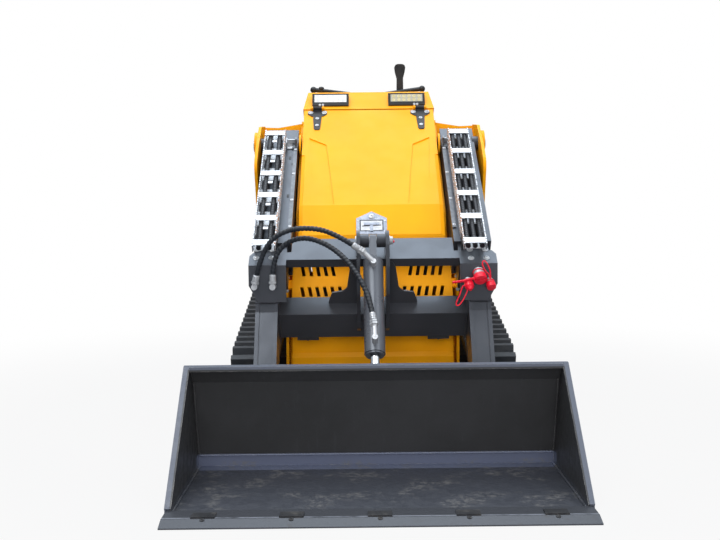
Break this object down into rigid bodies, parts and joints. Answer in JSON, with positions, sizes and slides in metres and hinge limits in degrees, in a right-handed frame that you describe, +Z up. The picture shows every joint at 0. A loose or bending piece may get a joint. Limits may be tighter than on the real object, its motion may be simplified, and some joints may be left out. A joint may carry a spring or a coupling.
{
  "type": "compact track loader",
  "caption": "Stand-on compact track loader with twin telescopic booms, a wide bucket, rubber tracks and a folding hood.",
  "frame": {"origin": "on the ground, in the middle of the machine's width and length", "axes": "+Z up, the bucket faces -Y, +X is the operator's left"},
  "size_m": [1.23, 2.9, 1.5374],
  "materials": {
    "yellow_paint": "gloss powder coat",
    "dark_paint": "satin powder coat",
    "boom_grey_paint": "satin powder coat",
    "worn_steel": "worn, with rust",
    "zinc_steel": "zinc plated",
    "chrome_rod": "polished",
    "track_rubber": "matt",
    "hose_rubber": "satin",
    "pad_foam": "matt",
    "black_plastic": "grained",
    "red_plastic": "smooth",
    "lamp_glass": "clear",
    "engine_iron": "painted"
  },
  "bodies": {
    "chassis": {"chassis_frame": "yellow_paint", "tower_left": "yellow_paint", "tower_right": "yellow_paint", "track_left": "track_rubber", "track_right": "track_rubber", "track_frame_left": "dark_paint", "track_frame_right": "dark_paint", "idlers": "dark_paint", "sprockets": "dark_paint", "track_rollers": "dark_paint", "front_grille": "yellow_paint", "front_panel": "yellow_paint", "console_housing": "yellow_paint", "control_panel": "black_plastic", "work_lights": "black_plastic", "lamp_lenses": "lamp_glass", "operator_controls": "black_plastic", "rear_cover": "dark_paint", "thigh_pad": "pad_foam", "operator_platform": "dark_paint", "engine_block": "engine_iron"},
    "hood": {"hood": "yellow_paint", "hood_hinges": "dark_paint", "hood_latch": "zinc_steel"},
    "boom_outer": {"outer_boom_left": "boom_grey_paint", "outer_boom_right": "boom_grey_paint", "boom_guides": "zinc_steel"},
    "boom_inner": {"inner_boom_left": "boom_grey_paint", "inner_boom_right": "boom_grey_paint", "front_frame": "boom_grey_paint", "upper_crossbar": "boom_grey_paint", "cylinder_ears": "boom_grey_paint", "tilt_pin": "zinc_steel", "drag_chain_left": "zinc_steel", "drag_chain_right": "zinc_steel", "chain_hoses": "hose_rubber", "quick_couplers": "zinc_steel", "coupler_caps": "red_plastic", "hose_fittings": "zinc_steel", "tilt_hose_upper": "hose_rubber", "tilt_hose_lower": "hose_rubber"},
    "tilt_barrel": {"tilt_barrel": "dark_paint", "tilt_port_fittings": "zinc_steel"},
    "tilt_rod": {"tilt_rod": "chrome_rod"},
    "lift_barrels": {"lift_barrels": "dark_paint"},
    "lift_rods": {"lift_rods": "chrome_rod"},
    "bucket": {"bucket_shell": "worn_steel", "cutting_edge": "worn_steel", "edge_tabs": "worn_steel", "quick_attach": "boom_grey_paint"}
  },
  "joints": [
    {"name": "hood_hinge", "type": "hinge", "parent": "chassis", "child": "hood", "pos_m": [0, 0.33043, 1.30331], "axis": [-1, 0, 0], "range_deg": [0, 50]},
    {"name": "boom_lift", "type": "hinge", "parent": "chassis", "child": "boom_outer", "pos_m": [0, 0.17, 1.133], "axis": [-1, 0, 0], "range_deg": [0, 80]},
    {"name": "boom_extend", "type": "slide", "parent": "boom_outer", "child": "boom_inner", "axis": [0, -0.809, -0.5878], "range_m": [0, 0.6]},
    {"name": "bucket_tilt", "type": "hinge", "parent": "boom_inner", "child": "bucket", "pos_m": [0, -0.685, 0.13], "axis": [1, 0, 0], "range_deg": [-15, 65]},
    {"name": "tilt_barrel_swing", "type": "hinge", "parent": "boom_inner", "child": "tilt_barrel", "pos_m": [0, -0.48557, 0.74745], "axis": [1, 0, 0], "range_deg": [-2, 4]},
    {"name": "tilt_rod_slide", "type": "slide", "parent": "tilt_barrel", "child": "tilt_rod", "axis": [0, -0.5732, -0.8194], "range_m": [-0.05, 0.21]},
    {"name": "lift_barrel_swing", "type": "hinge", "parent": "chassis", "child": "lift_barrels", "pos_m": [0, 0.5, 0.585], "axis": [-1, 0, 0], "range_deg": [0, 40]},
    {"name": "lift_rod_slide", "type": "slide", "parent": "lift_barrels", "child": "lift_rods", "axis": [0, -0.9986, 0.0535], "range_m": [0, 0.52]}
  ],
  "couplings": [
    {"joint": "tilt_barrel_swing", "follows": "bucket_tilt", "ratio": 0.035},
    {"joint": "tilt_rod_slide", "follows": "bucket_tilt", "m_per_rad": 0.182},
    {"joint": "lift_barrel_swing", "follows": "boom_lift", "ratio": 0.494},
    {"joint": "lift_rod_slide", "follows": "boom_lift", "m_per_rad": 0.37}
  ]
}
